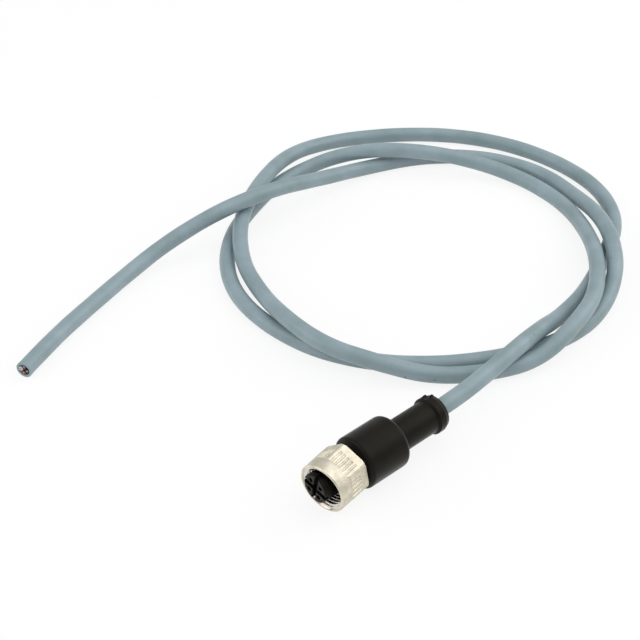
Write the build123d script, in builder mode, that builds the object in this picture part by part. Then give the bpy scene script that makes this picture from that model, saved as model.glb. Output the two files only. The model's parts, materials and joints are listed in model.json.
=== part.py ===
# Straight M12 female cable connector with a loose coupling nut, a moulded grip and a free cable.
# +X points out of the mating face along the connector's axis and +Z is up.
# The origin lies on the floor, under the middle of the connector.
import os
from math import asin, cos, degrees, radians, sin, tan

from build123d import *

os.makedirs("parts", exist_ok=True)

# Driving dimensions in millimetres and degrees

# Contact carrier: lengths are measured forward from the front face of the grip
spigot_radius = 4.1
spigot_reach = 13.4
spigot_edge = 0.2
flange_radius = 5.25
flange_start = 3.4
flange_length = 1.4
neck_radius = 4.45
root_radius = 5.2
root_depth = 1.5
root_length = 5.0
key_width = 1.2
key_depth = 0.7
key_length = 7.0
channel_width = 0.9
channel_depth = 1.0
carrier_roll = 10.5

# Socket contacts
contact_count = 4
contact_circle = 5.0
contact_radius = 0.85
contact_recess = 1.6
entry_radius = 0.65
pin_radius = 0.5
pin_depth = 6.0
slot_width = 0.22
slot_length = 4.5
shoulder_radius = 1.1
shoulder_length = 0.8
cup_length = 3.5
cup_radius = 0.5
cup_depth = 2.6
cup_opening = 1.8

# Sealing ring and its groove at the foot of the spigot
ring_section_radius = 0.5
ring_groove_depth = 0.2
ring_sides = 8

# Coupling nut: lengths are measured forward from its rear face
nut_rear_gap = 1.45
nut_length = 10.45
hex_flats = 13.0
hex_corner_radius = 7.35
hex_length = 6.6
hex_roll = -9.0
hex_rear_chamfer = 0.25
band_radius = 7.2
band_cone = 0.3
front_radius = 7.15
rim_chamfer = 0.25
thread_radius = 6.0
thread_ridge = 0.54
thread_length = 5.8
mouth_radius = 6.45
mouth_chamfer = 0.45
relief_radius = 5.65
lip_radius = 5.05
lip_length = 1.0
grooves_per_flat = 5
groove_pitch = 1.25
groove_width = 0.5
groove_depth = 0.2
groove_start = 2.3
groove_length = 4.2

# The loose nut hangs down and to one side, as far as its play allows
nut_pivot = 3.05
nut_lean_side = 62.0
nut_lean_gap = 0.33

# Grip, one moulding with its tail, collar and nubs
grip_radius = 7.5
grip_length = 14.0
grip_front_round = 1.0
grip_rear_round = 1.7
tail_radius = 4.65
tail_length = 13.0
collar_radius = 5.35
collar_ramp = 0.4
collar_land = 1.9
collar_taper = 1.6
collar_end_radius = 4.75
nub_width = 0.4
nub_height = 0.25
nub_length = 1.2
nub_angles = (-31.0, -13.0)
nub_distances = (1.75, 2.75)

# Cable
cable_radius = 2.5
cable_sides = 8
cable_inset = 13.95
exit_run = 8.05
arc_share = 0.45
core_radius = 0.65
core_circle = 2.1
strand_radius = 0.36
strip_length = 0.8
cut_core_length = 6.0
cut_roll = 80.0

# Clearance between pieces that fit into each other
fit_gap = 0.05

# Places along X
total_length = spigot_reach + grip_length + tail_length + collar_ramp + collar_land + collar_taper
nose_x = total_length / 2
grip_front_x = nose_x - spigot_reach
grip_rear_x = grip_front_x - grip_length
tail_rear_x = grip_rear_x - tail_length
collar_rear_x = nose_x - total_length
flange_rear_x = grip_front_x + flange_start
flange_front_x = flange_rear_x + flange_length
root_front_x = grip_front_x - root_depth
root_rear_x = root_front_x - root_length
contact_front_x = nose_x - contact_recess
cup_rear_x = root_rear_x - cup_length
core_front_x = cup_rear_x - strip_length
cable_front_x = collar_rear_x + cable_inset

# Lean of the nut: the smallest of what its mouth, its rear corners and its lip allow
nut_rear_x = grip_front_x + nut_rear_gap
pivot_x = nut_rear_x + nut_pivot
thread_minor_radius = thread_radius - thread_ridge
mouth_lean = asin((thread_minor_radius - spigot_radius - nut_lean_gap) / (nut_length - nut_pivot))
rear_lean = asin((nut_rear_gap - nut_lean_gap) / hex_corner_radius)
lip_lean = asin((lip_radius - neck_radius - fit_gap * 3) / nut_pivot)
nut_lean = min(mouth_lean, rear_lean, lip_lean)
nut_drop = sin(nut_lean) * cos(radians(nut_lean_side))
nut_side = sin(nut_lean) * sin(radians(nut_lean_side))

# The grip or the leaning nut rests on the floor, whichever reaches lower
nut_level = cos(asin(nut_drop))
front_reach = (nut_length - nut_pivot) * nut_drop + front_radius * nut_level
corner_reach = (hex_length - band_cone - nut_pivot) * nut_drop + hex_corner_radius * nut_level
axis_height = max(grip_radius, front_reach, corner_reach)


def axis_plane(x, roll=0.0):
    """Plane across the connector's axis at x: its own x points up, turned by roll towards +Y."""
    up = (0, sin(radians(roll)), cos(radians(roll)))
    return Plane(origin=(x, 0, axis_height), x_dir=up, z_dir=(1, 0, 0))


def length_plane(angle=0.0, radius=0.0):
    """Plane along a line parallel to X, at an angle from the top towards +Y: its own y points out."""
    out = Vector(0, sin(radians(angle)), cos(radians(angle)))
    origin = Vector(0, 0, axis_height) + out * radius
    return Plane(origin=origin, x_dir=(1, 0, 0), z_dir=Vector(1, 0, 0).cross(out))


def finish(piece, name):
    """Label a finished piece and write it."""
    piece.part.label = name
    export_step(piece.part, f"parts/{name}.step")


connector_axis = Axis((0, 0, axis_height), (1, 0, 0))
contact_angles = [carrier_roll + 360 / contact_count * (i + 0.5) for i in range(contact_count)]
contact_offset = contact_circle / 2
core_offset = core_circle / 2
core_names = ("brown", "white", "blue", "black")
cut_order = ("white", "brown", "black", "blue")

# Grip: a turned outline, hollowed for the carrier's root, the solder cups, the cores and the cable
grip_outline = [
    (grip_front_x, 0),
    (grip_front_x, grip_radius),
    (grip_rear_x, grip_radius),
    (grip_rear_x, tail_radius),
    (tail_rear_x, tail_radius),
    (tail_rear_x - collar_ramp, collar_radius),
    (tail_rear_x - collar_ramp - collar_land, collar_radius),
    (collar_rear_x, collar_end_radius),
    (collar_rear_x, 0),
]
rear_round = min(grip_rear_round, (grip_radius - tail_radius) * 0.6)
grip_rounds = [grip_front_round, rear_round, 0, 0, 0, 0, 0]
nub_base = collar_radius - nub_height
cup_space = contact_offset + shoulder_radius + fit_gap
core_space = core_offset + core_radius + 2 * fit_gap
neck_space = neck_radius + fit_gap
root_space = root_radius + fit_gap
cable_space = cable_radius + fit_gap
cavity_outline = [
    (grip_front_x, 0),
    (grip_front_x, neck_space),
    (root_front_x + fit_gap, neck_space),
    (root_front_x + fit_gap, root_space),
    (root_rear_x - fit_gap, root_space),
    (root_rear_x - fit_gap, cup_space),
    (core_front_x, cup_space),
    (cable_front_x + fit_gap, core_space),
    (cable_front_x + fit_gap, cable_space),
    (collar_rear_x, cable_space),
    (collar_rear_x, 0),
]
with BuildPart() as grip_body:
    with BuildSketch(length_plane()):
        with BuildLine():
            outline = FilletPolyline(*grip_outline, radius=grip_rounds)
            Line(outline @ 1, outline @ 0)
        make_face()
    revolve(axis=connector_axis)
    for nub_angle, nub_distance in zip(nub_angles, nub_distances):
        with BuildSketch(length_plane(nub_angle)):
            with Locations((tail_rear_x - nub_distance, nub_base)):
                SlotOverall(nub_length, nub_height * 4)
        extrude(amount=nub_width / 2, both=True)
    with BuildSketch(length_plane()):
        with BuildLine():
            Polyline(*cavity_outline, close=True)
        make_face()
    revolve(axis=connector_axis, mode=Mode.SUBTRACT)
finish(grip_body, "grip_body")

# Contact carrier: spigot, ring groove, flange, neck and the root that the grip is moulded round
ring_seat_radius = spigot_radius - ring_groove_depth
ring_front_x = flange_front_x + 2 * ring_section_radius
carrier_outline = [
    (nose_x, 0),
    (nose_x, spigot_radius - spigot_edge),
    (nose_x - spigot_edge, spigot_radius),
    (ring_front_x, spigot_radius),
    (ring_front_x, ring_seat_radius),
    (flange_front_x, ring_seat_radius),
    (flange_front_x, flange_radius),
    (flange_rear_x, flange_radius),
    (flange_rear_x, neck_radius),
    (root_front_x, neck_radius),
    (root_front_x, root_radius),
    (root_rear_x, root_radius),
    (root_rear_x, 0),
]
with BuildPart() as carrier:
    with BuildSketch(length_plane()):
        with BuildLine():
            Polyline(*carrier_outline, close=True)
        make_face()
    revolve(axis=connector_axis)
    with BuildSketch(axis_plane(nose_x, carrier_roll)):
        with Locations((spigot_radius, 0)):
            Rectangle(key_depth * 2, key_width)
    extrude(amount=-key_length, mode=Mode.SUBTRACT)
    with BuildSketch(axis_plane(nose_x, carrier_roll)):
        Rectangle(spigot_radius * 3, channel_width)
        Rectangle(channel_width, spigot_radius * 3)
    extrude(amount=-channel_depth, mode=Mode.SUBTRACT)
    with BuildSketch(axis_plane(nose_x, carrier_roll)):
        with PolarLocations(contact_offset, contact_count, 180 / contact_count):
            Circle(entry_radius)
    extrude(amount=-contact_recess, mode=Mode.SUBTRACT)
    with BuildSketch(axis_plane(root_rear_x, carrier_roll)):
        with PolarLocations(contact_offset, contact_count, 180 / contact_count):
            Circle(contact_radius + fit_gap)
    extrude(amount=contact_front_x + fit_gap - root_rear_x, mode=Mode.SUBTRACT)

# The one moulding is kept as three nodes, each nearly convex, so that its collision follows the spigot
carrier_stretches = {
    "contact_carrier": (flange_front_x, nose_x),
    "carrier_flange": (flange_rear_x, flange_front_x),
    "carrier_root": (root_rear_x, flange_rear_x),
}
for name, (rear_x, front_x) in carrier_stretches.items():
    with BuildPart() as stretch:
        add(carrier.part)
        with BuildSketch(axis_plane(rear_x)):
            Circle(flange_radius + root_radius)
        extrude(amount=front_x - rear_x, mode=Mode.INTERSECT)
    finish(stretch, name)

# Sealing ring: in its groove against the flange's front face, its round section drawn with few sides
with BuildPart() as o_ring:
    with BuildSketch(length_plane()):
        with Locations((flange_front_x + ring_section_radius, ring_seat_radius + ring_section_radius)):
            RegularPolygon(ring_section_radius - fit_gap, ring_sides)
    revolve(axis=connector_axis)
finish(o_ring, "o_ring")

# Coupling nut: turned outline, six milled flats with axial grooves, a lip behind that holds it on
nut_axis = Vector(cos(nut_lean), nut_side, -nut_drop)
nut_across = Vector(0, 0, 1).cross(nut_axis).normalized()
nut_up = nut_axis.cross(nut_across)
nut_rear = Vector(pivot_x, 0, axis_height) - nut_axis * nut_pivot
nut_plane = Plane(origin=nut_rear, x_dir=nut_axis, z_dir=nut_axis.cross(nut_up))


def nut_cross_plane(distance):
    """Plane across the nut's own axis, at a distance from its rear face: its own x points up."""
    return Plane(origin=nut_rear + nut_axis * distance, x_dir=nut_up, z_dir=nut_axis)


nut_outline = [
    (0, lip_radius),
    (0, hex_corner_radius - hex_rear_chamfer),
    (hex_rear_chamfer, hex_corner_radius),
    (hex_length - band_cone, hex_corner_radius),
    (hex_length, band_radius),
    (nut_length - rim_chamfer, front_radius),
    (nut_length, front_radius - rim_chamfer),
    (nut_length, mouth_radius),
    (nut_length - mouth_chamfer, thread_radius),
    (nut_length - thread_length, thread_radius),
    (nut_length - thread_length, relief_radius),
    (lip_length, relief_radius),
    (lip_length, lip_radius),
]
with BuildPart() as coupling_nut:
    with BuildSketch(nut_plane):
        with BuildLine():
            Polyline(*nut_outline, close=True)
        make_face()
    revolve(axis=Axis(nut_rear, nut_axis))
    with BuildSketch(nut_cross_plane(0)):
        Circle(hex_corner_radius + 1)
        RegularPolygon(hex_flats / 2, 6, major_radius=False, rotation=-hex_roll, mode=Mode.SUBTRACT)
    extrude(amount=hex_length, mode=Mode.SUBTRACT)
    with BuildSketch(nut_cross_plane(groove_start)):
        with PolarLocations(hex_flats / 2, 6, 30 - hex_roll):
            with GridLocations(groove_width, groove_pitch, 1, grooves_per_flat):
                Rectangle(groove_depth * 2, groove_width)
    extrude(amount=groove_length, mode=Mode.SUBTRACT)
finish(coupling_nut, "coupling_nut")

# Socket contacts: a slotted sleeve in the carrier, a shoulder against its root and a solder cup behind
contact_outline = [
    (contact_front_x, pin_radius),
    (contact_front_x, contact_radius),
    (root_rear_x - fit_gap, contact_radius),
    (root_rear_x - fit_gap, shoulder_radius),
    (root_rear_x - shoulder_length, shoulder_radius),
    (root_rear_x - shoulder_length, contact_radius),
    (cup_rear_x, contact_radius),
    (cup_rear_x, cup_radius),
    (cup_rear_x + cup_depth, cup_radius),
    (cup_rear_x + cup_depth, 0),
    (contact_front_x - pin_depth, 0),
    (contact_front_x - pin_depth, pin_radius),
]
for number, angle in enumerate(contact_angles, start=1):
    sleeve_plane = length_plane(angle, contact_offset)
    front_plane = Plane(origin=sleeve_plane.from_local_coords((contact_front_x, 0)), z_dir=(1, 0, 0))
    with BuildPart() as socket_contact:
        with BuildSketch(sleeve_plane):
            with BuildLine():
                Polyline(*contact_outline, close=True)
            make_face()
        revolve(axis=Axis(sleeve_plane.origin, (1, 0, 0)))
        with BuildSketch(front_plane):
            Rectangle(contact_radius * 3, slot_width)
        extrude(amount=-slot_length, mode=Mode.SUBTRACT)
        with BuildSketch(sleeve_plane):
            with Locations((cup_rear_x, contact_radius)):
                Rectangle(cup_opening * 2, contact_radius * 2)
        extrude(amount=contact_radius * 2, both=True, mode=Mode.SUBTRACT)
    finish(socket_contact, f"socket_contact_{number}")

# Cores in the grip: insulated wires that slant from the cups to the cable, with stripped copper in the cups
for angle, colour in zip(contact_angles, core_names):
    core_start = length_plane(angle, contact_offset).from_local_coords((core_front_x, 0))
    core_stop = length_plane(angle, core_offset).from_local_coords((cable_front_x + fit_gap, 0))
    slant = core_stop - core_start
    core_face = Plane(origin=core_start, z_dir=slant)
    core_end_slope = core_radius * tan(radians(slant.get_angle(Vector(-1, 0, 0))))
    strand_face = Plane(origin=core_start, z_dir=(1, 0, 0))
    with BuildPart() as core:
        with BuildSketch(core_face):
            Circle(core_radius)
        extrude(amount=slant.length - core_end_slope)
    finish(core, f"core_{colour}")
    with BuildPart() as strands:
        with BuildSketch(strand_face.offset(core_end_slope)):
            Circle(strand_radius)
        extrude(amount=strip_length + cup_depth - core_end_slope - fit_gap)
    finish(strands, f"strands_{colour}")

# Cable: a plain tube of few sides on straight runs joined by large tangent arcs, from inside the grip to
# the bare cut end. It runs two loose turns round, over and under itself.
cable_route = [
    (cable_front_x, 0, axis_height),
    (collar_rear_x - exit_run, 0, axis_height),
    (-47, -1.6, 8.3), (-68, -4.1, 8.6), (-84, -8.4, 2.7), (-100, -11.5, 2.5), (-119, -19.5, 2.5),
    (-138, -29, 2.5), (-150, -46, 2.5), (-153, -67, 2.5), (-149, -88, 2.5), (-138, -106.5, 2.5),
    (-121, -121.5, 2.5), (-101, -130.5, 3.4), (-80, -127.8, 7.6), (-60, -119, 8.4), (-42, -107, 8.4),
    (-30.5, -92.5, 5), (-24, -75.5, 5), (-18.6, -58.5, 8.3), (-18.2, -41, 8.3), (-25.5, -26.5, 6.6),
    (-36, -14.8, 2.8), (-49.5, -5.2, 2.5), (-63.5, 1.4, 3.8), (-79, 1.2, 8.4), (-95.5, -4.2, 8.4),
    (-111.2, -16.9, 8.8), (-126, -34, 4.4), (-134, -49.5, 2.5), (-135.5, -66, 2.6), (-130.5, -81, 4.4),
    (-119.5, -92.5, 8.2), (-106.5, -107, 8.9), (-95, -118.1, 5.8), (-81.8, -122.9, 2.8), (-67.8, -121.5, 2.5),
    (-54, -116, 2.5), (-39.5, -108.7, 2.5), (-26.5, -95.5, 2.5), (-19, -80, 2.5), (-17.3, -62, 2.5),
    (-20.5, -44.5, 2.5), (-29.5, -29, 2.5), (-43, -16, 2.5), (-60, -6, 2.5), (-78, -0.5, 2.5),
    (-94, -1.4, 2.6), (-107, -6.3, 6.2), (-118.4, -15.5, 8.5), (-129, -29.5, 8.5), (-139, -47, 3.4),
    (-143.5, -67, 2.5), (-136, -87.5, 2.5), (-120, -102, 2.5), (-100, -109.5, 2.6), (-79, -109.4, 7),
    (-57.5, -107, 13.5), (-36.5, -109, 13.5), (-19, -115, 6), (-2, -113.5, 2.6), (16, -107.8, 2.5),
    (33, -102, 2.5), (47.7, -95.3, 2.5),
]


def cord_radii(points):
    """Largest tangent arc at each inner point: a share of the shorter run over the half turn's tangent."""
    places = [Vector(point) for point in points]
    runs = [after - before for before, after in zip(places, places[1:])]
    shorter = [min(a.length, b.length) for a, b in zip(runs, runs[1:])]
    turns = [a.get_angle(b) for a, b in zip(runs, runs[1:])]
    return [arc_share * run / tan(radians(turn) / 2) for run, turn in zip(shorter, turns)]


cable_arcs = cord_radii(cable_route)
print("cable arc radii:", [round(arc) for arc in cable_arcs])
with BuildPart() as cable_jacket:
    with BuildLine() as cable_path:
        FilletPolyline(*cable_route, radius=cable_arcs)
    cable_start = Plane(origin=cable_path.line @ 0, x_dir=(0, 0, 1), z_dir=cable_path.line % 0)
    cable_end = Plane(origin=cable_path.line @ 1, x_dir=(0, 0, 1), z_dir=cable_path.line % 1)
    with BuildSketch(cable_start) as cable_section:
        RegularPolygon(cable_radius, cable_sides, rotation=180 / cable_sides)
    sweep(path=cable_path.line)
    cable_volume = cable_jacket.part.volume
    with BuildSketch(cable_end):
        Circle(core_offset + core_radius + fit_gap)
    extrude(amount=-cut_core_length - fit_gap, mode=Mode.SUBTRACT)
finish(cable_jacket, "cable_jacket")
cable_length = cable_path.wire().length
volume_share = cable_volume / cable_section.sketch.area / cable_length
print(f"cable length {cable_length:.1f}, volume share {volume_share:.4f}")

# Cores at the cut end: insulation and copper, flush with the cut
for number, colour in enumerate(cut_order):
    turn = radians(cut_roll + 360 / contact_count * number)
    place = cable_end.from_local_coords((core_offset * cos(turn), core_offset * sin(turn)))
    cut_face = Plane(origin=place, z_dir=cable_end.z_dir)
    with BuildPart() as cut_core:
        with BuildSketch(cut_face):
            Circle(core_radius)
            Circle(strand_radius + fit_gap, mode=Mode.SUBTRACT)
        extrude(amount=-cut_core_length)
    finish(cut_core, f"cut_core_{colour}")
    with BuildPart() as cut_strands:
        with BuildSketch(cut_face):
            Circle(strand_radius)
        extrude(amount=-cut_core_length)
    finish(cut_strands, f"cut_strands_{colour}")

print(f"nut lean {degrees(nut_lean):.3f} degrees, axis height {axis_height:.3f}, length {total_length:.2f}")
print("nut axis", [round(part, 6) for part in nut_axis], "through x", round(pivot_x, 3))
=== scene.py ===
# %% [markdown]
# # A straight M12 sensor cable
#
# The object is a round cable connector: a nickel-plated nut that spins on a black insert, a black
# rubbery grip moulded round the wires, and a grey cable that lies in two loose turns and ends in a
# clean cut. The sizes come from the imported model, which is loaded first and stays where it is. Every
# new piece is worked out in metres in the same frame, so nothing has to be fitted by hand afterwards.

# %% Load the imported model
import json
from math import cos, pi, radians, sin

import bmesh
import bpy
import numpy as np
from mathutils import Matrix, Vector


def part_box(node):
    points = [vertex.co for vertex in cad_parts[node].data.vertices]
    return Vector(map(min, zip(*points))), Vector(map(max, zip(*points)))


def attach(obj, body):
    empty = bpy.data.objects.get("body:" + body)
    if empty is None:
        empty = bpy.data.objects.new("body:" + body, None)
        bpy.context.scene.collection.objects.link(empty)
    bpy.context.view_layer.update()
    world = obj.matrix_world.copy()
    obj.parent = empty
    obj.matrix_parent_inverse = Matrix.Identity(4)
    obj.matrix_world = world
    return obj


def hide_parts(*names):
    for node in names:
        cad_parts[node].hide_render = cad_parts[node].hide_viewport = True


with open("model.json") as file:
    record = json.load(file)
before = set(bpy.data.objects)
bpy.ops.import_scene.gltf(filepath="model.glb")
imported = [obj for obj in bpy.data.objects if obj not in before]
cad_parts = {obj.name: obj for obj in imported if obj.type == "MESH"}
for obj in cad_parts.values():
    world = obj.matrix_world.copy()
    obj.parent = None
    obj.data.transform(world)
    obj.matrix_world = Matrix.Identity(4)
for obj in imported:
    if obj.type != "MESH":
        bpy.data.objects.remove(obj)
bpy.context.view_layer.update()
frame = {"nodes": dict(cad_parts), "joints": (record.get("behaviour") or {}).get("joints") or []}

MM = 0.001

# %% [markdown]
# ## Places on the connector
#
# A node's box tells where the solid is. The grip gives the axis height and both its ends, the insert
# gives the mating face, and the joint gives the line that the loose nut spins about. The nut leans a
# few degrees off the axis, because on the real connector it has play on the insert's neck.

# %% Read the places from the frame
grip_low, grip_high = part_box("grip_body")
insert_low, insert_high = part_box("contact_carrier")
axis_z = (grip_low.z + grip_high.z) / 2
grip_front = grip_high.x
collar_rear = grip_low.x
mating_face = insert_high.x
spin = [joint for joint in frame["joints"] if joint["name"] == "nut_spin"][0]
nut_axis = np.array(spin["axis"], float)
nut_axis = nut_axis / np.linalg.norm(nut_axis)
nut_pivot_point = np.array(spin["pos_m"], float)
print(f"grip from {collar_rear / MM:.2f} to {grip_front / MM:.2f} mm, axis {axis_z / MM:.2f} mm up")

# %% [markdown]
# ## Camera
#
# The photograph looks down at about 37 degrees on a table top. Its place was worked out from the size
# of the connector and of the cable loops in the picture: about 0.37 m away, with a lens that sees 26
# degrees.

# %% Make the camera
camera_place = Vector((193.6, 190.4, 258.0)) * MM
camera_heading = radians(42.3)
camera_pitch = radians(37.5)
pixels_per_radian = 1408.0
picture_width = 640
sensor_width = 36.0

camera_data = bpy.data.cameras.new("camera")
camera_data.sensor_width = sensor_width
camera_data.lens = sensor_width * pixels_per_radian / picture_width
camera_data.clip_start = 0.01
camera = bpy.data.objects.new("camera", camera_data)
bpy.context.scene.collection.objects.link(camera)
flat_view = Vector((-sin(camera_heading), -cos(camera_heading), 0))
view_line = flat_view * cos(camera_pitch) - Vector((0, 0, sin(camera_pitch)))
camera.location = camera_place
camera.rotation_euler = view_line.to_track_quat("-Z", "Y").to_euler()
bpy.context.scene.camera = camera
print(f"camera at {tuple(round(c, 4) for c in camera.location)}, lens {camera_data.lens:.1f} mm")

# %% [markdown]
# ## Colours and nodes
#
# Colours are written as they look on a screen, as hex values, and Blender works in linear light, so one
# function turns one into the other. A second function adds a shader node: it sets the node's own
# settings by name, and its sockets from a dictionary, where a value is set and another node's output is
# linked.


# %% Colour and node helpers
def linear(hex_colour):
    """sRGB hex to linear RGBA: each channel is undone from the screen's curve."""
    channels = np.array([int(hex_colour[i:i + 2], 16) for i in (1, 3, 5)]) / 255
    light = np.where(channels <= 0.04045, channels / 12.92, ((channels + 0.055) / 1.055) ** 2.4)
    return (*light.tolist(), 1.0)


def add(tree, kind, sockets=None, **settings):
    """One node of that kind, with its settings, and its sockets set to values or linked to outputs."""
    made = tree.nodes.new(kind)
    for name, value in settings.items():
        setattr(made, name, value)
    for socket, value in (sockets or {}).items():
        if isinstance(value, bpy.types.NodeSocket):
            tree.links.new(value, made.inputs[socket])
        else:
            made.inputs[socket].default_value = value
    return made


def blank_material(name):
    """A material with an empty node tree that ends in a Principled shader."""
    made = bpy.data.materials.new(name)
    made.use_nodes = True
    tree = made.node_tree
    tree.nodes.clear()
    shader = add(tree, "ShaderNodeBsdfPrincipled")
    add(tree, "ShaderNodeOutputMaterial", {"Surface": shader.outputs["BSDF"]})
    return made, tree, shader


def dress(piece, finish):
    """Give a piece one material in all its slots."""
    piece.data.materials.clear()
    piece.data.materials.append(finish)


MIX_FACTOR, MIX_A, MIX_B, MIX_RESULT = 0, 6, 7, 2
print("orange #FF8000 in linear light:", [round(c, 3) for c in linear("#FF8000")[:3]])

# %% [markdown]
# ## Table and light
#
# The photograph was taken on white under wide, soft light. A large pale floor carries the shadow. Part
# of its light is its own, for the camera and for reflections only, so that it reads as white paper
# while the object is lit at a plain level. Three wide lamps and an even sky light the rest.


# %% Make the floor, the sky and the lamps
def paper_floor():
    """White paper: matt white with a glow for the camera and in reflections, so shadows stay pale."""
    made = bpy.data.materials.new("white_paper")
    made.use_nodes = True
    tree = made.node_tree
    tree.nodes.clear()
    rays = add(tree, "ShaderNodeLightPath")
    seen = add(tree, "ShaderNodeMath", {0: rays.outputs["Is Camera Ray"], 1: rays.outputs["Is Glossy Ray"]},
               operation="ADD", use_clamp=True)
    share = add(tree, "ShaderNodeMath", {0: seen.outputs[0], 1: paper_glow}, operation="MULTIPLY")
    matt = add(tree, "ShaderNodeBsdfDiffuse", {"Color": linear("#F4F4F3")})
    glow = add(tree, "ShaderNodeEmission", {"Color": (1, 1, 1, 1), "Strength": 1.0})
    mix = add(tree, "ShaderNodeMixShader",
              {0: share.outputs[0], 1: matt.outputs[0], 2: glow.outputs[0]})
    add(tree, "ShaderNodeOutputMaterial", {"Surface": mix.outputs[0]})
    return made


paper_glow = 0.86
floor_half = 3.0
floor_mesh = bpy.data.meshes.new("floor")
floor_corners = [(-floor_half, -floor_half, 0), (floor_half, -floor_half, 0), (floor_half, floor_half, 0),
                 (-floor_half, floor_half, 0)]
floor_mesh.from_pydata(floor_corners, [], [(0, 1, 2, 3)])
floor = bpy.data.objects.new("floor", floor_mesh)
floor.location.z = -0.02 * MM
bpy.context.scene.collection.objects.link(floor)
dress(floor, paper_floor())

world = bpy.data.worlds.new("soft_sky")
bpy.context.scene.world = world
world.use_nodes = True
sky = world.node_tree
sky.nodes.clear()
sky_level = 0.62
sky_light = add(sky, "ShaderNodeBackground", {"Color": linear("#FBFCFF"), "Strength": sky_level})
add(sky, "ShaderNodeOutputWorld", {"Surface": sky_light.outputs[0]})


def softbox(name, place, aim, size, watts):
    """A square lamp at a place, turned to face a point."""
    data = bpy.data.lights.new(name, "AREA")
    data.shape = "SQUARE"
    data.size = size
    data.energy = watts
    lamp = bpy.data.objects.new(name, data)
    lamp.location = place
    lamp.rotation_euler = (Vector(aim) - Vector(place)).to_track_quat("-Z", "Y").to_euler()
    bpy.context.scene.collection.objects.link(lamp)
    return lamp


middle = (-0.05, -0.06, 0.0)
camera_right = Vector((-cos(camera_heading), sin(camera_heading), 0))
overhead_place = Vector(middle) + Vector((0, 0, 0.9)) + camera_right * 0.45
left_place = Vector(middle) + Vector((0, 0, 0.55)) - camera_right * 0.8 - flat_view * 0.2
right_place = Vector(middle) + Vector((0, 0, 0.5)) + camera_right * 0.8 + flat_view * 0.3
overhead = softbox("overhead_lamp", overhead_place, middle, size=1.3, watts=5.0)
left_lamp = softbox("left_lamp", left_place, middle, size=0.7, watts=2.6)
right_lamp = softbox("right_lamp", right_place, middle, size=0.7, watts=1.8)
bpy.context.scene.view_settings.view_transform = "Standard"
print("lamps:", [lamp.name for lamp in (overhead, left_lamp, right_lamp)])

# %% [markdown]
# ## Meshes from grids
#
# Most pieces here were turned, moulded or extruded, so each is a surface of two parameters: how far
# along a profile, and how far round. numpy works all the points out at once as an array of rows and
# columns, and one function makes the mesh: four neighbours are a face, and the last column joins the
# first.


# %% Grid and profile helpers
def grid_piece(name, points, body, wrap_rows=False, uv=None):
    """Mesh of points[row, column] in metres: neighbours make faces, columns (and rows, if asked) close up."""
    rows, columns = points.shape[:2]
    index = np.arange(rows * columns).reshape(rows, columns)
    across = np.concatenate([index, index[:, :1]], axis=1)
    if wrap_rows:
        across = np.concatenate([across, across[:1]], axis=0)
    neighbours = [across[:-1, :-1], across[:-1, 1:], across[1:, 1:], across[1:, :-1]]
    quads = np.stack(neighbours, axis=-1).reshape(-1, 4)
    corners = points.reshape(-1, 3)[quads]
    volume = np.einsum("ij,ij->i", np.cross(corners[:, 0], corners[:, 1]), corners[:, 2])
    volume = volume + np.einsum("ij,ij->i", np.cross(corners[:, 0], corners[:, 2]), corners[:, 3])
    if volume.sum() < 0:
        quads = quads[:, ::-1]
    mesh = bpy.data.meshes.new(name)
    mesh.vertices.add(rows * columns)
    mesh.vertices.foreach_set("co", points.astype(np.float32).ravel())
    mesh.loops.add(quads.size)
    mesh.loops.foreach_set("vertex_index", quads.astype(np.int32).ravel())
    mesh.polygons.add(len(quads))
    mesh.polygons.foreach_set("loop_start", np.arange(0, quads.size, 4, dtype=np.int32))
    mesh.polygons.foreach_set("use_smooth", np.ones(len(quads), bool))
    mesh.update(calc_edges=True)
    if uv is not None:
        layer = mesh.uv_layers.new(name="along_round")
        layer.data.foreach_set("uv", uv.reshape(-1, 2)[quads].astype(np.float32).ravel())
    close_poles(mesh)
    piece = bpy.data.objects.new(name, mesh)
    bpy.context.scene.collection.objects.link(piece)
    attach(piece, body)
    print(f"{name}: {len(mesh.polygons)} faces")
    return piece


def close_poles(mesh):
    """Merge the points of a row that has shrunk to one place on the axis."""
    work = bmesh.new()
    work.from_mesh(mesh)
    bmesh.ops.remove_doubles(work, verts=work.verts, dist=1e-7)
    work.to_mesh(mesh)
    work.free()


def rounded(corners, run_step, arc_steps=6):
    """Profile through corners (along, out, round): runs cut into steps, corners turned by arcs."""
    places = np.array([corner[:2] for corner in corners], float)
    radii = [corner[2] for corner in corners]
    pieces = [places[:1]]
    for i in range(1, len(places) - 1):
        before = places[i - 1] - places[i]
        after = places[i + 1] - places[i]
        before = before / np.linalg.norm(before)
        after = after / np.linalg.norm(after)
        half = np.arccos(np.clip(np.dot(before, after), -1, 1)) / 2
        if radii[i] == 0:
            pieces.append(places[i:i + 1])
            continue
        reach = radii[i] / np.tan(half)
        middle = (before + after) / np.linalg.norm(before + after)
        centre = places[i] + middle * radii[i] / np.sin(half)
        start = places[i] + before * reach - centre
        stop = places[i] + after * reach - centre
        share = np.linspace(0, 1, arc_steps + 1)[:, None]
        turn = pi - 2 * half
        arc = (np.sin((1 - share) * turn) * start + np.sin(share * turn) * stop) / np.sin(turn)
        pieces.append(centre + arc)
    pieces.append(places[-1:])
    line = np.concatenate(pieces)
    lengths = np.linalg.norm(np.diff(line, axis=0), axis=1)
    counts = np.maximum(1, np.ceil(lengths / run_step).astype(int))
    starts = np.repeat(np.arange(len(counts)), counts)
    within = np.concatenate([np.arange(count) / count for count in counts])
    filled = line[starts] + (line[starts + 1] - line[starts]) * within[:, None]
    return np.concatenate([filled, line[-1:]])


def step_up(x, edge, soft):
    """A smooth step from 0 to 1 around an edge: 3t^2 - 2t^3 over the soft width."""
    t = np.clip((x - edge) / soft + 0.5, 0, 1)
    return t * t * (3 - 2 * t)


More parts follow.
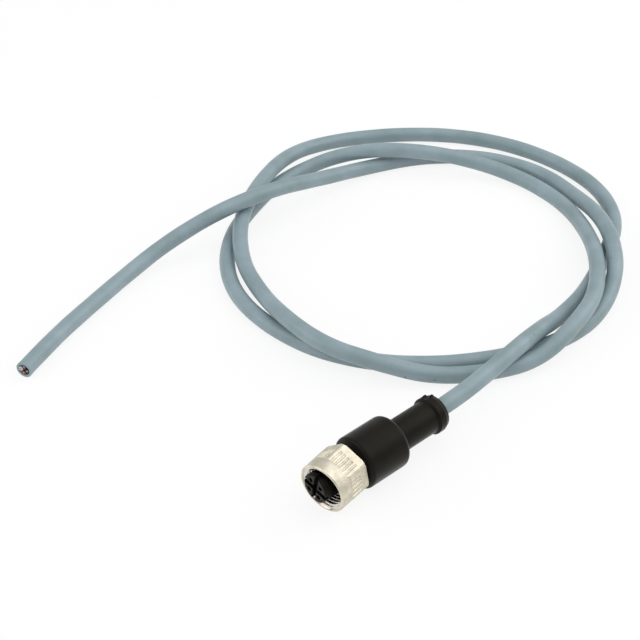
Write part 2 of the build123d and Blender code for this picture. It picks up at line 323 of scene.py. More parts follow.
def on_axis(along, out, angle):
    """Points round the connector's axis: along X, out from the axis, angle from the top towards +Y."""
    return np.stack([along + 0 * angle, out * np.sin(angle), axis_z + out * np.cos(angle)], axis=-1)


corner_example = rounded([(0, 0, 0), (1, 0, 0.4), (1, 1, 0)], 1.0)
print("profile of a rounded corner:", corner_example.round(2).tolist()[:3])

# %% [markdown]
# ## The cable's route
#
# The cable leaves the grip, passes over the loop, goes round twice, over and under itself, and runs out
# to its cut end. Its route is the same list of points as in the solid model. They are the control
# points of one smooth NURBS curve, which is what a springy cable looks like, and the tube follows
# points read from it.

# %% Lay the route and read the smooth curve
exit_run = 8.05
cable_inset = 13.95
collar_mm = collar_rear / MM
route_mm = [
    (collar_mm + cable_inset, 0, axis_z / MM),
    (collar_mm - exit_run, 0, axis_z / MM),
    (-47, -1.6, 8.3), (-68, -4.1, 8.6), (-84, -8.4, 2.7), (-100, -11.5, 2.5), (-119, -19.5, 2.5),
    (-138, -29, 2.5), (-150, -46, 2.5), (-153, -67, 2.5), (-149, -88, 2.5), (-138, -106.5, 2.5),
    (-121, -121.5, 2.5), (-101, -130.5, 3.4), (-80, -127.8, 7.6), (-60, -119, 8.4), (-42, -107, 8.4),
    (-30.5, -92.5, 5), (-24, -75.5, 5), (-18.6, -58.5, 8.3), (-18.2, -41, 8.3), (-25.5, -26.5, 6.6),
    (-36, -14.8, 2.8), (-49.5, -5.2, 2.5), (-63.5, 1.4, 3.8), (-79, 1.2, 8.4), (-95.5, -4.2, 8.4),
    (-111.2, -16.9, 8.8), (-126, -34, 4.4), (-134, -49.5, 2.5), (-135.5, -66, 2.6), (-130.5, -81, 4.4),
    (-119.5, -92.5, 8.2), (-106.5, -107, 8.9), (-95, -118.1, 5.8), (-81.8, -122.9, 2.8), (-67.8, -121.5, 2.5),
    (-54, -116, 2.5), (-39.5, -108.7, 2.5), (-26.5, -95.5, 2.5), (-19, -80, 2.5), (-17.3, -62, 2.5),
    (-20.5, -44.5, 2.5), (-29.5, -29, 2.5), (-43, -16, 2.5), (-60, -6, 2.5), (-78, -0.5, 2.5),
    (-94, -1.4, 2.6), (-107, -6.3, 6.2), (-118.4, -15.5, 8.5), (-129, -29.5, 8.5), (-139, -47, 3.4),
    (-143.5, -67, 2.5), (-136, -87.5, 2.5), (-120, -102, 2.5), (-100, -109.5, 2.6), (-79, -109.4, 7),
    (-57.5, -107, 13.5), (-36.5, -109, 13.5), (-19, -115, 6), (-2, -113.5, 2.6), (16, -107.8, 2.5),
    (33, -102, 2.5), (47.7, -95.3, 2.5),
]


def smooth_route(points_mm, resolution):
    """Points in metres along the NURBS curve of order 3 that has these control points."""
    curve = bpy.data.curves.new("route", "CURVE")
    curve.dimensions = "3D"
    curve.resolution_u = resolution
    spline = curve.splines.new("NURBS")
    spline.points.add(len(points_mm) - 1)
    controls = np.c_[np.array(points_mm, float) * MM, np.ones(len(points_mm))]
    spline.points.foreach_set("co", controls.ravel())
    spline.order_u = 3
    spline.use_endpoint_u = True
    holder = bpy.data.objects.new("route", curve)
    bpy.context.scene.collection.objects.link(holder)
    bpy.context.view_layer.update()
    seen = holder.evaluated_get(bpy.context.evaluated_depsgraph_get())
    mesh = bpy.data.meshes.new_from_object(seen)
    places = np.zeros(len(mesh.vertices) * 3)
    mesh.vertices.foreach_get("co", places)
    bpy.data.objects.remove(holder)
    bpy.data.curves.remove(curve)
    bpy.data.meshes.remove(mesh)
    return places.reshape(-1, 3)


cable_line = smooth_route(route_mm, 12)
cable_steps = np.linalg.norm(np.diff(cable_line, axis=0), axis=1)
cable_far = np.concatenate([[0], np.cumsum(cable_steps)])
cable_length = float(cable_far[-1])
print(f"cable line: {len(cable_line)} points, {cable_length:.3f} m")

# %% [markdown]
# ## The cable's jacket
#
# The jacket is extruded PVC, 5 mm across. A circle is carried along the route: across the run at each
# point lie a level direction and one near the vertical, which need no running total because the cable
# never stands up. The twisted cores press a faint spiral through the jacket. At the cut the tube turns
# in over a small edge and runs back inside, so that the cores lie in a real opening.

# %% Make the jacket
jacket_radius = 2.5 * MM
bore_radius = 1.78 * MM
bore_depth = 5.5 * MM
cut_edge = 0.12 * MM
bore_edge = 0.05 * MM
cut_face_radius = 2.2 * MM
core_lay = 62 * MM
spiral_height = 0.018 * MM
jacket_columns = 56

run = np.gradient(cable_line, axis=0)
run = run / np.linalg.norm(run, axis=1)[:, None]
level = np.cross(np.array([0.0, 0.0, 1.0]), run)
level = level / np.linalg.norm(level, axis=1)[:, None]
rise = np.cross(run, level)
round_angle = np.linspace(0, 2 * pi, jacket_columns, endpoint=False)


def tube_rows(centre, level_way, rise_way, radius):
    """Rings of points: centre + radius (level cos a + rise sin a) for every angle a."""
    across = level_way[:, None, :] * np.cos(round_angle)[None, :, None]
    up = rise_way[:, None, :] * np.sin(round_angle)[None, :, None]
    return centre[:, None, :] + radius[..., None] * (across + up)


spiral = spiral_height * np.cos(4 * (round_angle[None, :] - 2 * pi * cable_far[:, None] / core_lay))
body_rows = tube_rows(cable_line, level, rise, jacket_radius + spiral - spiral_height)
edge_turn = np.linspace(0, pi / 2, 5)
outer_back = cut_edge * (np.sin(edge_turn) - 1)
outer_radius = jacket_radius - cut_edge * (1 - np.cos(edge_turn))
cut_back = np.concatenate([outer_back, [0, 0, -bore_edge, -bore_depth, -bore_depth]])
inner_radius = [cut_face_radius, bore_radius + bore_edge, bore_radius, bore_radius, 0]
cut_radius = np.concatenate([outer_radius, inner_radius])
cut_centre = cable_line[-1] + run[-1] * cut_back[:, None]
cut_ways = np.ones((len(cut_back), 1))
cut_rings = cut_radius[:, None] * np.ones(jacket_columns)
cut_rows = tube_rows(cut_centre, cut_ways * level[-1], cut_ways * rise[-1], cut_rings)
start_row = np.repeat(cable_line[:1, None, :], jacket_columns, axis=1)
jacket_points = np.concatenate([start_row, body_rows[:-1], cut_rows])
jacket_far = np.concatenate([[0], cable_far[:-1], cable_length + cut_back])
jacket_uv = np.stack(np.broadcast_arrays(jacket_far[:, None], round_angle[None, :] / (2 * pi)), axis=-1)
cable = grid_piece("cable", jacket_points, "connector", uv=jacket_uv)
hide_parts("cable_jacket")

# %% [markdown]
# ## The grip
#
# The grip is one soft moulding: a thick barrel, a slimmer tail and a collar. It was moulded in a turned
# cavity, so its outline is carried round the axis, with the round edges of the photograph. Two small
# nubs stand on the collar, added to the outline's radius by smooth steps along and round, and the
# mould's gate left a shallow flat between them, taken off in the same way.

# %% Make the grip
grip_radius = (grip_high.z - grip_low.z) / 2
grip_rear = grip_front - 14.0 * MM
tail_rear = grip_rear - 13.0 * MM
tail_radius = 4.65 * MM
collar_radius = 5.35 * MM
collar_ramp = 0.4 * MM
collar_land = 1.9 * MM
collar_end_radius = 4.75 * MM
collar_round = 0.4 * MM
grip_front_round = 1.0 * MM
grip_rear_round = 1.55 * MM
tail_root_round = 1.25 * MM
hole_round = 0.15 * MM
neck_hole = 4.5 * MM
cable_hole = 2.53 * MM
inner_depth = 3.0 * MM
grip_corners = [
    (grip_front - inner_depth, 0, 0),
    (grip_front - inner_depth, neck_hole, 0),
    (grip_front, neck_hole, hole_round),
    (grip_front, grip_radius, grip_front_round),
    (grip_rear, grip_radius, grip_rear_round),
    (grip_rear, tail_radius, tail_root_round),
    (tail_rear, tail_radius, 0.1 * MM),
    (tail_rear - collar_ramp, collar_radius, 0.2 * MM),
    (tail_rear - collar_ramp - collar_land, collar_radius, collar_round),
    (collar_rear, collar_end_radius, collar_round),
    (collar_rear, cable_hole, hole_round),
    (collar_rear + inner_depth, cable_hole, 0),
    (collar_rear + inner_depth, 0, 0),
]
nub_angles = np.radians([-31.0, -13.0])
nub_middles = tail_rear - np.array([1.75, 2.75]) * MM
nub_length = 1.2 * MM
nub_width = 0.5 * MM
nub_top = collar_radius + 0.4 * MM
gate_depth = 0.16 * MM
grip_profile = rounded(grip_corners, 0.35 * MM, arc_steps=8)
nub_ring = np.concatenate([np.linspace(-0.09, 0.09, 25) + angle for angle in nub_angles])
grip_angle = np.unique(np.concatenate([np.linspace(-pi, pi, 120, endpoint=False), nub_ring]).round(5))
along = grip_profile[:, :1]
out = grip_profile[:, 1:]
nub_run = step_up(nub_length / 2 - np.abs(along - nub_middles), 0, 0.3 * MM) * (out > tail_radius)
nub_near = nub_width / 2 - np.abs(grip_angle - nub_angles[:, None]) * collar_radius
nubs = nub_run @ step_up(nub_near, 0, 0.25 * MM)
gate_turn = step_up(grip_angle, nub_angles[0], 0.06) * (1 - step_up(grip_angle, nub_angles[1], 0.06))
gate = step_up(-along, -tail_rear + 0.7 * MM, 0.2 * MM) * (out > tail_radius) * gate_turn[None, :]
grip_out = out + (nub_top - out) * nubs - gate_depth * gate * (1 - nubs)
grip = grid_piece("grip", on_axis(along, grip_out, grip_angle[None, :]), "connector")
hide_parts("grip_body")

# %% [markdown]
# ## The coupling nut
#
# The nut is turned brass with six milled flats, each with five shallow grooves to hold it by. Seen
# along its axis, a flat is the line apothem / cos(angle), and the turned outline cuts its corners off,
# so the radius is the smaller of the two. The grooves are taken off that radius by smooth steps. The
# columns stand closer where the grooves have their walls.

# %% Work out the nut's flats and grooves
nut_length = 10.45 * MM
nut_pivot = 3.05 * MM
hex_apothem = 6.5 * MM
hex_corner = 7.35 * MM
hex_length = 6.6 * MM
hex_roll = radians(-9.0)
groove_pitch = 1.25 * MM
groove_width = 0.5 * MM
groove_depth = 0.2 * MM
groove_start = 2.3 * MM
groove_stop = 6.5 * MM
groove_soft = 0.12 * MM
thread_radius = 6.0 * MM
thread_length = 5.8 * MM
mouth_radius = 6.48 * MM
mouth_depth = 0.32 * MM
lining = 0.01 * MM
relief_radius = 5.65 * MM
lip_radius = 5.05 * MM
lip_length = 1.0 * MM
rear_chamfer = 0.25 * MM
band_rear_radius = 7.2 * MM
band_front_radius = 7.15 * MM
rim_chamfer = 0.25 * MM
rim_radius = 6.92 * MM

groove_places = (np.arange(5) - 2) * groove_pitch
wall = groove_width / 2 + np.array([-1, -0.5, 0, 0.5, 1]) * groove_soft / 2
side_places = np.concatenate([(groove_places[:, None] + np.concatenate([-wall, wall])[None, :]).ravel(),
                              groove_places, np.linspace(-3.7, 3.7, 31) * MM])
side_angle = np.unique(np.arctan(np.sort(side_places) / hex_apothem).round(5))
side_angle = side_angle[np.abs(side_angle) < radians(30)]
flat_middles = radians(30) + np.arange(6) * radians(60)
nut_angle = (flat_middles[:, None] + side_angle[None, :]).ravel()
flat_radius = np.tile(hex_apothem / np.cos(side_angle), 6)
flat_place = np.tile(hex_apothem * np.tan(side_angle), 6)
print("columns round the nut:", len(nut_angle))


# %% Make the nut
def on_nut(far, out, angle):
    """Points round the nut's own axis: far from its rear face, out from the axis, angle from the top."""
    side = np.cross(np.array([0.0, 0.0, 1.0]), nut_axis)
    side = side / np.linalg.norm(side)
    top = np.cross(nut_axis, side)
    centre = nut_pivot_point + nut_axis * (far[..., None] - nut_pivot)
    return centre + out[..., None] * (np.sin(angle)[..., None] * side + np.cos(angle)[..., None] * top)


nut_corners = [
    (lip_length, lip_radius, 0.1 * MM),
    (0, lip_radius, 0.12 * MM),
    (0, hex_corner - rear_chamfer, 0.1 * MM),
    (rear_chamfer, hex_corner, 0.1 * MM),
    (hex_length - 0.3 * MM, hex_corner, 0.15 * MM),
    (hex_length, band_rear_radius, 0.15 * MM),
    (nut_length - rim_chamfer, band_front_radius, 0.05 * MM),
    (nut_length, rim_radius, 0.04 * MM),
    (nut_length, mouth_radius + lining, 0.04 * MM),
    (nut_length - mouth_depth - lining, mouth_radius + lining, 0),
    (nut_length - mouth_depth - lining, thread_radius + lining, 0),
    (nut_length - thread_length, thread_radius + lining, 0),
    (nut_length - thread_length, relief_radius, 0),
    (lip_length, relief_radius, 0),
    (lip_length, lip_radius, 0.1 * MM),
]
nut_profile = rounded(nut_corners, 0.16 * MM, arc_steps=5)[:-1]
far = nut_profile[:, :1]
turned = nut_profile[:, 1:]
in_flats = 1 - step_up(far, hex_length, 0.12 * MM)
outside = (turned > mouth_radius - 0.1 * MM).astype(float)
flat_cut = np.maximum(turned - flat_radius[None, :], 0) * in_flats * outside
groove_run = step_up(far, groove_start, groove_soft) * (1 - step_up(far, groove_stop, groove_soft))
groove_near = groove_width / 2 - np.abs(flat_place - groove_places[:, None])
groove_side = step_up(groove_near, 0, groove_soft).sum(axis=0)
groove_cut = groove_depth * groove_run * groove_side[None, :] * outside * (turned > hex_apothem)
nut_out = turned - flat_cut - groove_cut
nut_points = on_nut(far + 0 * nut_out, nut_out, (nut_angle + hex_roll)[None, :] + 0 * nut_out)
nut = grid_piece("nut_shell", nut_points, "nut", wrap_rows=True)
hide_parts("coupling_nut")

# %% [markdown]
# ## The thread
#
# The mouth is a short plain recess, and the mating thread starts at its foot. An M12 thread has a pitch
# of 1 mm and flanks at 60 degrees. The bore is one surface: at a place along and an angle round, the
# distance from the nearest crest follows from both together, because the thread climbs one pitch a
# turn. The flank falls off from the crest in a straight line, and the ridge fades at both ends, as a
# cut thread runs in and out.

# %% Make the thread
thread_pitch = 1.0 * MM
thread_height = 0.54 * MM
crest_half = 0.125 * MM
flank_run = 0.3125 * MM
thread_columns = 144
thread_step = 0.04 * MM
sleeve = 2 * lining
mouth_front = nut_length - lining
thread_front = nut_length - mouth_depth
thread_back = nut_length - thread_length
bore_corners = [
    (mouth_front, mouth_radius, 0),
    (thread_front, mouth_radius, 0),
    (thread_front, thread_radius, 0),
    (thread_back, thread_radius, 0),
    (thread_back, thread_radius + sleeve, 0),
    (thread_front - sleeve, thread_radius + sleeve, 0),
    (thread_front - sleeve, mouth_radius + sleeve, 0),
    (mouth_front, mouth_radius + sleeve, 0),
]
bore_profile = rounded(bore_corners, thread_step)
bore_angle = np.linspace(0, 2 * pi, thread_columns, endpoint=False)[None, :]
bore_far = bore_profile[:, :1]
bore_out = bore_profile[:, 1:]
climb = (bore_far - thread_front) / thread_pitch + bore_angle / (2 * pi)
from_crest = np.abs(climb % 1 - 0.5) * thread_pitch
ridge = np.clip((crest_half + flank_run - from_crest) / flank_run, 0, 1)
run_out = step_up(bore_far, thread_back + 0.4 * MM, 0.8 * MM)
run_in = 1 - step_up(bore_far, thread_front - 0.15 * MM, 0.3 * MM)
thread_out = bore_out - thread_height * ridge * run_out * run_in * (bore_out < thread_radius + lining)
thread_points = on_nut(bore_far + 0 * thread_out, thread_out, bore_angle + 0 * thread_out)
thread = grid_piece("nut_thread", thread_points, "nut", wrap_rows=True)

# %% [markdown]
# ## The sealing ring
#
# A rubber ring with a round section lies round the foot of the spigot. It is a torus: a circle carried
# round.

# %% Make the sealing ring
ring_low, ring_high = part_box("o_ring")
ring_section = (ring_high.x - ring_low.x) / 2
ring_middle = (ring_high.z - ring_low.z) / 2 - ring_section
section_angle = np.linspace(0, 2 * pi, 24, endpoint=False)[:, None]
ring_angle = np.linspace(0, 2 * pi, 96, endpoint=False)[None, :]
ring_along = (ring_low.x + ring_high.x) / 2 + ring_section * np.cos(section_angle)
ring_points = on_axis(ring_along, ring_middle + ring_section * np.sin(section_angle), ring_angle)
ring = grid_piece("seal_ring", ring_points, "connector", wrap_rows=True)
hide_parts("o_ring")

# %% [markdown]
# ## The insert
#
# The insert's shape is right in the solid model, with its holes and keyway, but its cross is wider and
# deeper in the photograph, and a moulding has no knife edges. A copy of each stretch has its loose
# triangles merged and its flat faces joined up. Two crossing bars, which stop just inside the outer
# wall, are taken out of the front stretch, and a Bevel modifier rounds each edge by a tenth of a
# millimetre, which is what catches the light.


# %% Make the insert
def join_up(mesh):
    """Merge points that lie on each other and join faces that lie flat."""
    work = bmesh.new()
    work.from_mesh(mesh)
    bmesh.ops.remove_doubles(work, verts=work.verts, dist=1e-6)
    bmesh.ops.dissolve_limit(work, angle_limit=radians(0.5), verts=work.verts, edges=work.edges)
    work.to_mesh(mesh)
    work.free()


def crossing_bar(turn):
    """A bar across the mating face, as deep as the channel, turned about the connector's axis."""
    size = Matrix.Diagonal((2 * cross_depth, cross_width, 2 * cross_reach, 1))
    place = Matrix.Translation((mating_face, 0, axis_z)) @ Matrix.Rotation(-turn, 4, "X")
    work = bmesh.new()
    bmesh.ops.create_cube(work, matrix=place @ size)
    mesh = bpy.data.meshes.new("crossing_bar")
    work.to_mesh(mesh)
    work.free()
    bar = bpy.data.objects.new("crossing_bar", mesh)
    bpy.context.scene.collection.objects.link(bar)
    return bar


def take_out(piece, bar):
    """The piece's mesh without the bar, which is used up."""
    cut = piece.modifiers.new("channel", "BOOLEAN")
    cut.operation = "DIFFERENCE"
    cut.object = bar
    bpy.context.view_layer.update()
    seen = piece.evaluated_get(bpy.context.evaluated_depsgraph_get())
    piece.data = bpy.data.meshes.new_from_object(seen)
    piece.modifiers.clear()
    bpy.data.objects.remove(bar)


def softened_copy(node, name, bars=()):
    """A copy of a node's mesh, joined up, without the bars, its edges rounded by a Bevel modifier."""
    mesh = frame["nodes"][node].data.copy()
    join_up(mesh)
    piece = bpy.data.objects.new(name, mesh)
    bpy.context.scene.collection.objects.link(piece)
    for bar in bars:
        take_out(piece, bar)
    join_up(piece.data)
    piece.data.name = name
    bevel = piece.modifiers.new("moulded_edges", "BEVEL")
    bevel.width = edge_round
    bevel.segments = 2
    bevel.limit_method = "ANGLE"
    bevel.angle_limit = radians(40)
    bevel.harden_normals = True
    piece.data.shade_smooth()
    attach(piece, "connector")
    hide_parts(node)
    print(f"{name}: {len(piece.data.polygons)} faces before rounding")
    return piece


cross_width = 1.35 * MM
cross_depth = 1.4 * MM
cross_wall = 0.3 * MM
cross_reach = (insert_high.z - insert_low.z) / 2 - cross_wall
edge_round = 0.1 * MM
insert_roll = radians(10.5)
bars = [crossing_bar(insert_roll), crossing_bar(insert_roll + pi / 2)]
inserts = [
    softened_copy("contact_carrier", "insert_spigot", bars),
    softened_copy("carrier_flange", "insert_flange"),
    softened_copy("carrier_root", "insert_root"),
]

# %% [markdown]
# ## The cut end
#
# Four cores show in the cut: each is a plastic sleeve round a twist of fine copper wires. Seven wires
# pack into a round: one in the middle and six about it. Seen from the middle, at an angle a from the
# nearest of the six, their outline is 2 w cos a + sqrt(w^2 - (2 w sin a)^2) for wires of radius w, and
# it turns as the bundle is twisted. At the cut each wire ends in a small dome.


# %% Make the copper strands
def strand_bundle(node):
    """Rings of the seven wires' outline along a core's line, twisted, then inwards over the domed ends."""
    low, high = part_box(node)
    tip = np.array((low + high) / 2) + run[-1] * bundle_length / 2
    turn = np.linspace(0, 2 * pi, 72, endpoint=False)[None, :]
    off_wire = (turn + pi / 6) % (pi / 3) - pi / 6
    gap = np.sqrt(np.maximum(wire_radius ** 2 - (2 * wire_radius * np.sin(off_wire)) ** 2, 0))
    outline = 2 * wire_radius * np.cos(off_wire) + gap
    share = np.linspace(0, 1, 13)[:, None]
    inward = np.linspace(0.98, 0, 13)[:, None]
    shrink = np.concatenate([[[0.0]], np.ones_like(share), inward])
    back = np.concatenate([[[bundle_length]], bundle_length * (1 - share), 0 * inward])
    reach = shrink * outline
    to_wire = np.sqrt(reach ** 2 + (2 * wire_radius) ** 2 - 4 * wire_radius * reach * np.cos(off_wire))
    to_wire = np.minimum(to_wire, reach)
    on_face = np.concatenate([0 * share[:1], 0 * share, inward ** 0])
    dome = on_face * dome_height * np.minimum(to_wire / wire_radius, 1.2) ** 2
    wind = turn + strand_twist * back / bundle_length
    across = np.cos(wind)[..., None] * level[-1] + np.sin(wind)[..., None] * rise[-1]
    return tip + reach[..., None] * across - (back + dome)[..., None] * run[-1]


wire_radius = 0.115 * MM
bundle_length = 6.0 * MM
strand_twist = 2.2
dome_height = 0.06 * MM
core_colours = ("white", "brown", "black", "blue")
bundles = []
for colour in core_colours:
    bundle = grid_piece(f"cut_copper_{colour}", strand_bundle(f"cut_strands_{colour}"), "connector")
    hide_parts(f"cut_strands_{colour}")
    bundles.append(bundle)

# %% [markdown]
#
# The cable's length along its line and its diameter are printed.

print(f"cable: {cable_length:.3f} m long, {2 * jacket_radius / MM:.1f} mm across")

# %% [markdown]
# ## Nickel-plated brass
#
# The nut was turned and milled from brass bar and then plated with nickel, which is a warm silver. The
# lathe leaves fine rings round the axis. They are a few hundredths of a millimetre apart on the real
# nut and are drawn coarser here so that they show. Handling leaves soft patches of a duller finish. The
# thread is out of reach of handling and stays bright, so it shows as sharp light and dark lines.


# %% Nickel-plated brass
def nickel_plated_brass(name, bright, grey, smooth, dull):
    """Warm silver metal with turning rings along the nut's axis and slightly uneven tone and gloss."""
    made, tree, shader = blank_material(name)
    place = add(tree, "ShaderNodeTexCoord").outputs["Object"]
    far_along = add(tree, "ShaderNodeVectorMath", {0: place, 1: nut_axis.tolist()}, operation="DOT_PRODUCT")
    rings = add(tree, "ShaderNodeTexNoise",
                {"W": far_along.outputs["Value"], "Scale": 1 / (0.22 * MM), "Detail": 3.0},
                noise_dimensions="1D")
    patches = add(tree, "ShaderNodeTexNoise", {"Vector": place, "Scale": 1 / (2.2 * MM), "Detail": 4.0})
    spread = add(tree, "ShaderNodeMapRange",
                 {"Value": patches.outputs["Fac"], "From Min": 0.35, "From Max": 0.68})
    tone = add(tree, "ShaderNodeMix",
               {MIX_FACTOR: spread.outputs[0], MIX_A: linear(bright), MIX_B: linear(grey)}, data_type="RGBA")
    gloss = add(tree, "ShaderNodeMapRange",
                {"Value": patches.outputs["Fac"], "To Min": smooth, "To Max": dull})
    bump = add(tree, "ShaderNodeBump",
               {"Height": rings.outputs["Fac"], "Strength": 0.12, "Distance": 0.02 * MM})
    tree.links.new(tone.outputs[MIX_RESULT], shader.inputs["Base Color"])
    tree.links.new(gloss.outputs[0], shader.inputs["Roughness"])
    tree.links.new(bump.outputs[0], shader.inputs["Normal"])
    shader.inputs["Metallic"].default_value = 1.0
    return made


satin_nickel = nickel_plated_brass("nickel_plated_brass_satin", "#E7E0CD", "#CFC8B4", smooth=0.46, dull=0.58)
bright_nickel = nickel_plated_brass("nickel_plated_brass_thread", "#E3DED4", "#D2CDC3", smooth=0.1, dull=0.16)
dress(nut, satin_nickel)
dress(thread, bright_nickel)

# %% [markdown]
# ## Black mouldings and rubber
#
# The insert is glass-filled polyamide with a fine satin skin. The grip is a soft polyurethane with the
# matt, very slightly grained surface of a spark-eroded mould. Both are near black. They differ in gloss
# and in the size of the grain, and the grip has faint paler scuffs from handling. A soft moulding also
# has a bloom, a thin dusty film that shows pale at grazing angles, so the grip's edges and the foot of
# its shoulder are lighter than its middle.


# %% Black polyamide and polyurethane
def moulded_black(name, dark, pale, roughness, shine, grain_mm, grain_depth_mm, bloom=0.0):
    """Near-black moulded plastic: two tones in soft patches, a fine grain, and a bloom at grazing angles."""
    made, tree, shader = blank_material(name)
    place = add(tree, "ShaderNodeTexCoord").outputs["Object"]
    patches = add(tree, "ShaderNodeTexNoise", {"Vector": place, "Scale": 1 / (4.0 * MM), "Detail": 5.0})
    grain = add(tree, "ShaderNodeTexNoise", {"Vector": place, "Scale": 1 / (grain_mm * MM), "Detail": 3.0})
    tone = add(tree, "ShaderNodeMix",
               {MIX_FACTOR: patches.outputs["Fac"], MIX_A: linear(dark), MIX_B: linear(pale)},
               data_type="RGBA")
    gloss = add(tree, "ShaderNodeMapRange",
                {"Value": patches.outputs["Fac"], "To Min": roughness - 0.06, "To Max": roughness + 0.06})
    bump = add(tree, "ShaderNodeBump",
               {"Height": grain.outputs["Fac"], "Strength": 0.5, "Distance": grain_depth_mm * MM})
    tree.links.new(tone.outputs[MIX_RESULT], shader.inputs["Base Color"])
    tree.links.new(gloss.outputs[0], shader.inputs["Roughness"])
    tree.links.new(bump.outputs[0], shader.inputs["Normal"])
    shader.inputs["Specular IOR Level"].default_value = shine
    shader.inputs["Specular Tint"].default_value = linear("#FFF1DA")
    shader.inputs["Sheen Weight"].default_value = bloom
    shader.inputs["Sheen Roughness"].default_value = 0.35
    return made


insert_finish = moulded_black("polyamide_satin_black", "#070706", "#0D0D0B", roughness=0.4, shine=0.17,
                              grain_mm=0.25, grain_depth_mm=0.01)
grip_finish = moulded_black("polyurethane_matt_black", "#0D0C09", "#1B1A15", roughness=0.36, shine=0.11,
                            grain_mm=0.18, grain_depth_mm=0.02, bloom=0.22)
ring_finish = moulded_black("rubber_black", "#0F0F0F", "#171717", roughness=0.5, shine=0.3,
                            grain_mm=0.2, grain_depth_mm=0.005)
for insert in inserts:
    dress(insert, insert_finish)
dress(grip, grip_finish)
dress(ring, ring_finish)

# %% [markdown]
# ## Grey PVC
#
# The jacket is extruded PVC in a cool grey with a satin skin. The extruder leaves very faint lines
# along the cable. Dust and handling give it soft, slightly darker and warmer stretches, and a few
# specks and one yellowish rub show in the photograph. The pattern follows the cable, so it reads the
# cable's own map: metres along it, and turns round it. Each mark is given by its millimetres along, its
# turns round, its width in millimetres and its colour.


# %% Grey PVC
def with_marks(tree, chart, tone):
    """The tone with each mark laid over it: a round spot on the jacket's unrolled skin, soft at its rim."""
    unrolled = add(tree, "ShaderNodeMapping", {"Vector": chart, "Scale": (1.0, 2 * pi * jacket_radius, 0.0)})
    for along_mm, turns, across_mm, colour in jacket_marks:
        spot = (along_mm * MM, turns * 2 * pi * jacket_radius, 0.0)
        off = add(tree, "ShaderNodeVectorMath", {0: unrolled.outputs[0], 1: spot}, operation="DISTANCE")
        cover = add(tree, "ShaderNodeMapRange",
                    {"Value": off.outputs["Value"], "From Min": across_mm * MM / 2,
                     "From Max": across_mm * MM / 5, "To Max": 0.75})
        laid = add(tree, "ShaderNodeMix",
                   {MIX_FACTOR: cover.outputs[0], MIX_A: tone, MIX_B: linear(colour)}, data_type="RGBA")
        tone = laid.outputs[MIX_RESULT]
    return tone


def extruded_pvc():
    """Cool grey satin plastic with faint lines along the cable and soft uneven stretches."""
    made, tree, shader = blank_material("pvc_extruded_grey")
    place = add(tree, "ShaderNodeTexCoord").outputs["Object"]
    chart = add(tree, "ShaderNodeUVMap", uv_map="along_round").outputs["UV"]
    stretched = add(tree, "ShaderNodeMapping", {"Vector": chart, "Scale": (60.0, 14.0, 1.0)})
    lines = add(tree, "ShaderNodeTexNoise", {"Vector": stretched.outputs[0], "Scale": 3.0, "Detail": 3.0})
    patches = add(tree, "ShaderNodeTexNoise", {"Vector": place, "Scale": 1 / (9.0 * MM), "Detail": 4.0})
    spread = add(tree, "ShaderNodeMapRange",
                 {"Value": patches.outputs["Fac"], "From Min": 0.3, "From Max": 0.7})
    tone = add(tree, "ShaderNodeMix",
               {MIX_FACTOR: spread.outputs[0], MIX_A: linear("#8FA1A8"), MIX_B: linear("#7E9294")},
               data_type="RGBA")
    gloss = add(tree, "ShaderNodeMapRange",
                {"Value": patches.outputs["Fac"], "To Min": 0.34, "To Max": 0.46})
    bump = add(tree, "ShaderNodeBump",
               {"Height": lines.outputs["Fac"], "Strength": 0.25, "Distance": 0.03 * MM})
    marked = with_marks(tree, chart, tone.outputs[MIX_RESULT])
    tree.links.new(marked, shader.inputs["Base Color"])
    tree.links.new(gloss.outputs[0], shader.inputs["Roughness"])
    tree.links.new(bump.outputs[0], shader.inputs["Normal"])
    return made


jacket_marks = [
    (56, 0.35, 0.8, "#4E5B60"),
    (54, 0.35, 0.5, "#5E6B70"),
    (424, 0.55, 1.0, "#4A575C"),
    (432, 0.5, 0.9, "#556267"),
    (478, 0.5, 2.6, "#9C9578"),
    (883, 0.15, 0.6, "#56646A"),
    (886, 0.15, 0.5, "#5A676B"),
]
dress(cable, extruded_pvc())

# %% [markdown]
# ## Core insulation, copper and gold
#
# The cores are coloured PVC with a smooth skin. The wires are bare copper, a little dull where they
# were cut. The socket contacts deep in the holes are gold-plated.


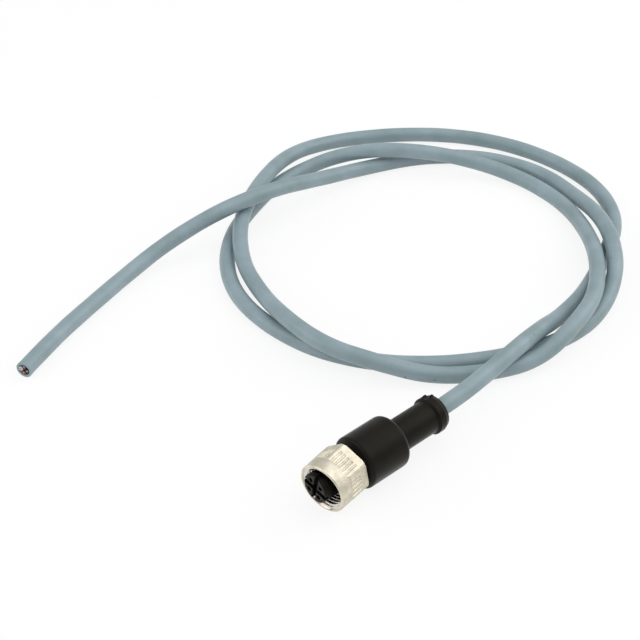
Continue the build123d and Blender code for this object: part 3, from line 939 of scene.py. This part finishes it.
# %% Core insulation, copper and gold
def core_plastic(name, colour, shade):
    """Smooth coloured plastic with a slight change of tone."""
    made, tree, shader = blank_material(name)
    place = add(tree, "ShaderNodeTexCoord").outputs["Object"]
    patches = add(tree, "ShaderNodeTexNoise", {"Vector": place, "Scale": 1 / (0.8 * MM), "Detail": 3.0})
    tone = add(tree, "ShaderNodeMix", {MIX_FACTOR: patches.outputs["Fac"], MIX_A: linear(colour),
                                       MIX_B: linear(shade)}, data_type="RGBA")
    tree.links.new(tone.outputs[MIX_RESULT], shader.inputs["Base Color"])
    shader.inputs["Roughness"].default_value = 0.4
    return made


def bare_metal(name, colour, shade, roughness):
    """Metal with a slight change of tone and gloss."""
    made, tree, shader = blank_material(name)
    place = add(tree, "ShaderNodeTexCoord").outputs["Object"]
    patches = add(tree, "ShaderNodeTexNoise", {"Vector": place, "Scale": 1 / (0.4 * MM), "Detail": 3.0})
    tone = add(tree, "ShaderNodeMix", {MIX_FACTOR: patches.outputs["Fac"], MIX_A: linear(colour),
                                       MIX_B: linear(shade)}, data_type="RGBA")
    gloss = add(tree, "ShaderNodeMapRange",
                {"Value": patches.outputs["Fac"], "To Min": roughness - 0.08, "To Max": roughness + 0.08})
    tree.links.new(tone.outputs[MIX_RESULT], shader.inputs["Base Color"])
    tree.links.new(gloss.outputs[0], shader.inputs["Roughness"])
    shader.inputs["Metallic"].default_value = 1.0
    return made


core_finish = {
    "white": core_plastic("pvc_core_white", "#E4E4E0", "#D2D0CA"),
    "brown": core_plastic("pvc_core_brown", "#6A4430", "#58382A"),
    "blue": core_plastic("pvc_core_blue", "#243F7C", "#1C3368"),
    "black": core_plastic("pvc_core_black", "#23241F", "#1A1A18"),
}
copper = bare_metal("copper_bare", "#DDB39C", "#CC9C82", 0.38)
gold = bare_metal("gold_plate", "#E6BE6A", "#D8AE58", 0.25)
for colour, finish in core_finish.items():
    dress(frame["nodes"][f"core_{colour}"], finish)
    dress(frame["nodes"][f"cut_core_{colour}"], finish)
    dress(frame["nodes"][f"strands_{colour}"], copper)
for part in bundles:
    dress(part, copper)
for number in range(1, 5):
    dress(frame["nodes"][f"socket_contact_{number}"], gold)
print("materials:", sorted(m.name for m in bpy.data.materials if m.users)[:12])
